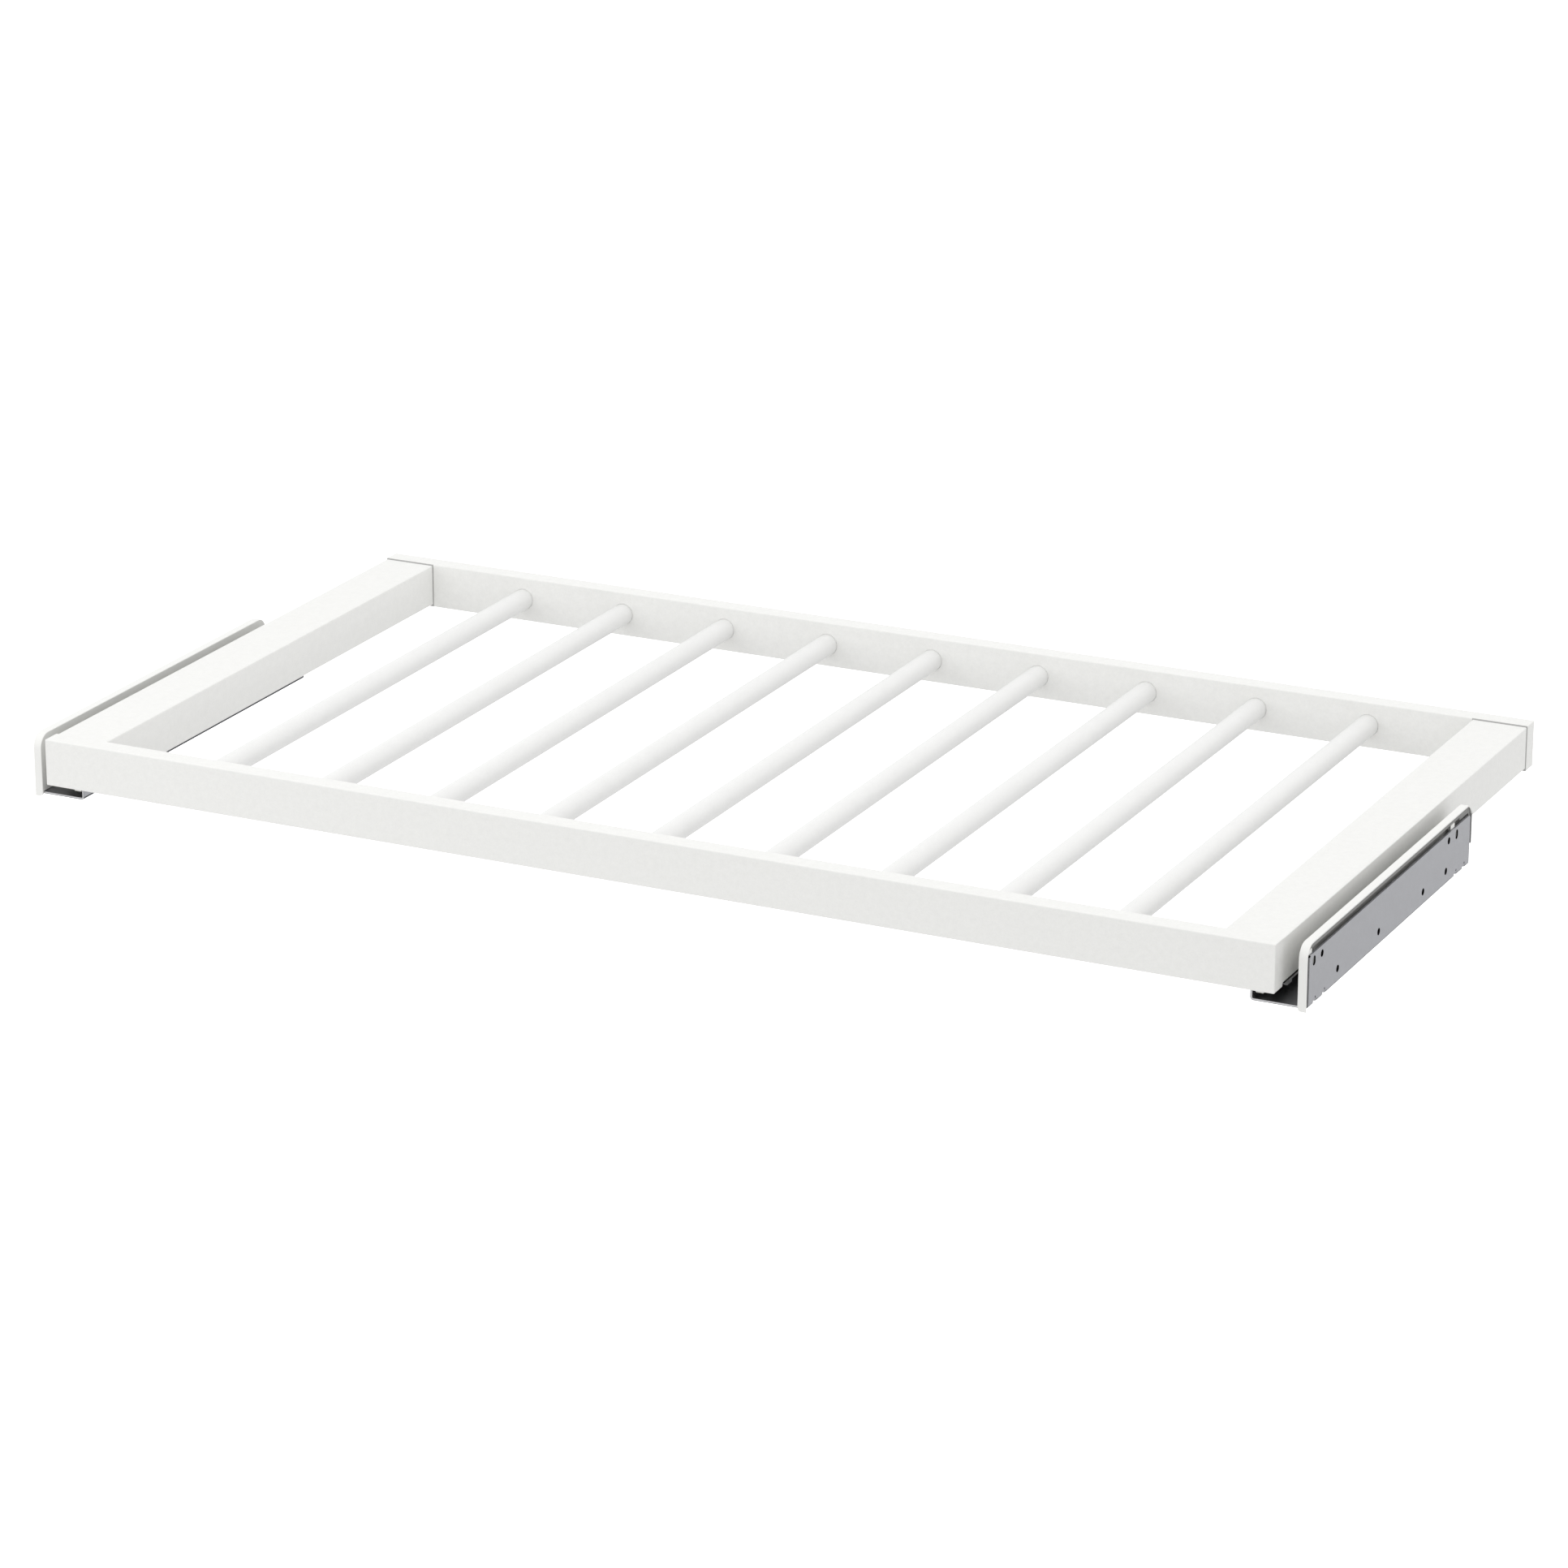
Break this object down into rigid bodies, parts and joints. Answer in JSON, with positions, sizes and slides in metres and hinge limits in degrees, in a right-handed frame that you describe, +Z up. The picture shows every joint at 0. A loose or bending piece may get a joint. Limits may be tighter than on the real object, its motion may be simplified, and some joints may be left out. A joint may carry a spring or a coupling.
{
  "type": "pull-out trouser rack",
  "caption": "White pull-out wardrobe rack: a flat frame of round hanging rods that slides forward on two side runners with clip-on covers.",
  "frame": {"origin": "midway between the wardrobe's side walls, midway along the frame's depth, level with the lowest edge of the runner covers", "axes": "+X to the right-hand side wall, +Y to the back of the wardrobe, +Z up; the rack is pushed in"},
  "size_m": [0.964, 0.5, 0.048],
  "materials": {
    "rail_foil": "white foil wrapped round board, satin",
    "rod_paint": "white powder coat, satin",
    "runner_steel": "zinc-plated rolled steel sheet",
    "cover_plastic": "white moulded plastic, fine matt texture",
    "guide_nylon": "natural white nylon",
    "roller_nylon": "natural white nylon",
    "cage_plastic": "black moulded plastic",
    "fastener_steel": "bright zinc plating",
    "beech": "bare fluted beech"
  },
  "bodies": {
    "fixed_rails": {"wall_member_left": "runner_steel", "wall_member_right": "runner_steel", "cover_left": "cover_plastic", "cover_right": "cover_plastic"},
    "frame": {"front_rail": "rail_foil", "back_rail": "rail_foil", "side_rail_left": "rail_foil", "side_rail_right": "rail_foil", "rod_1": "rod_paint", "rod_2": "rod_paint", "rod_3": "rod_paint", "rod_4": "rod_paint", "rod_5": "rod_paint", "rod_6": "rod_paint", "rod_7": "rod_paint", "rod_8": "rod_paint", "rod_9": "rod_paint", "frame_dowels": "beech", "cam_bolts": "fastener_steel", "cam_nuts": "fastener_steel", "drawer_member_left": "runner_steel", "front_guide_left": "guide_nylon", "rear_guide_left": "guide_nylon", "runner_screws_left": "fastener_steel", "drawer_member_right": "runner_steel", "front_guide_right": "guide_nylon", "rear_guide_right": "guide_nylon", "runner_screws_right": "fastener_steel"},
    "cage_left": {"roller_cage_left": "cage_plastic"},
    "roller_left_1": {"roller_left_1": "roller_nylon"},
    "roller_left_2": {"roller_left_2": "roller_nylon"},
    "roller_left_3": {"roller_left_3": "roller_nylon"},
    "cage_right": {"roller_cage_right": "cage_plastic"},
    "roller_right_1": {"roller_right_1": "roller_nylon"},
    "roller_right_2": {"roller_right_2": "roller_nylon"},
    "roller_right_3": {"roller_right_3": "roller_nylon"}
  },
  "joints": [
    {"name": "frame_slide", "type": "slide", "parent": "fixed_rails", "child": "frame", "axis": [0, -1, 0], "range_m": [0, 0.225]},
    {"name": "cage_slide_left", "type": "slide", "parent": "fixed_rails", "child": "cage_left", "axis": [0, -1, 0], "range_m": [0, 0.1125]},
    {"name": "roller_spin_left_1", "type": "hinge", "parent": "cage_left", "child": "roller_left_1", "pos_m": [-0.4583, -0.11, 0.00895], "axis": [1, 0, 0], "range_deg": [0, 1172]},
    {"name": "roller_spin_left_2", "type": "hinge", "parent": "cage_left", "child": "roller_left_2", "pos_m": [-0.4583, -0.082, 0.00895], "axis": [1, 0, 0], "range_deg": [0, 1172]},
    {"name": "roller_spin_left_3", "type": "hinge", "parent": "cage_left", "child": "roller_left_3", "pos_m": [-0.4583, -0.054, 0.00895], "axis": [1, 0, 0], "range_deg": [0, 1172]},
    {"name": "cage_slide_right", "type": "slide", "parent": "fixed_rails", "child": "cage_right", "axis": [0, -1, 0], "range_m": [0, 0.1125]},
    {"name": "roller_spin_right_1", "type": "hinge", "parent": "cage_right", "child": "roller_right_1", "pos_m": [0.4583, -0.11, 0.00895], "axis": [1, 0, 0], "range_deg": [0, 1172]},
    {"name": "roller_spin_right_2", "type": "hinge", "parent": "cage_right", "child": "roller_right_2", "pos_m": [0.4583, -0.082, 0.00895], "axis": [1, 0, 0], "range_deg": [0, 1172]},
    {"name": "roller_spin_right_3", "type": "hinge", "parent": "cage_right", "child": "roller_right_3", "pos_m": [0.4583, -0.054, 0.00895], "axis": [1, 0, 0], "range_deg": [0, 1172]}
  ],
  "couplings": [
    {"joint": "cage_slide_left", "follows": "frame_slide", "ratio": 0.5},
    {"joint": "roller_spin_left_1", "follows": "frame_slide", "rad_per_m": 90.909},
    {"joint": "roller_spin_left_2", "follows": "frame_slide", "rad_per_m": 90.909},
    {"joint": "roller_spin_left_3", "follows": "frame_slide", "rad_per_m": 90.909},
    {"joint": "cage_slide_right", "follows": "frame_slide", "ratio": 0.5},
    {"joint": "roller_spin_right_1", "follows": "frame_slide", "rad_per_m": 90.909},
    {"joint": "roller_spin_right_2", "follows": "frame_slide", "rad_per_m": 90.909},
    {"joint": "roller_spin_right_3", "follows": "frame_slide", "rad_per_m": 90.909}
  ]
}
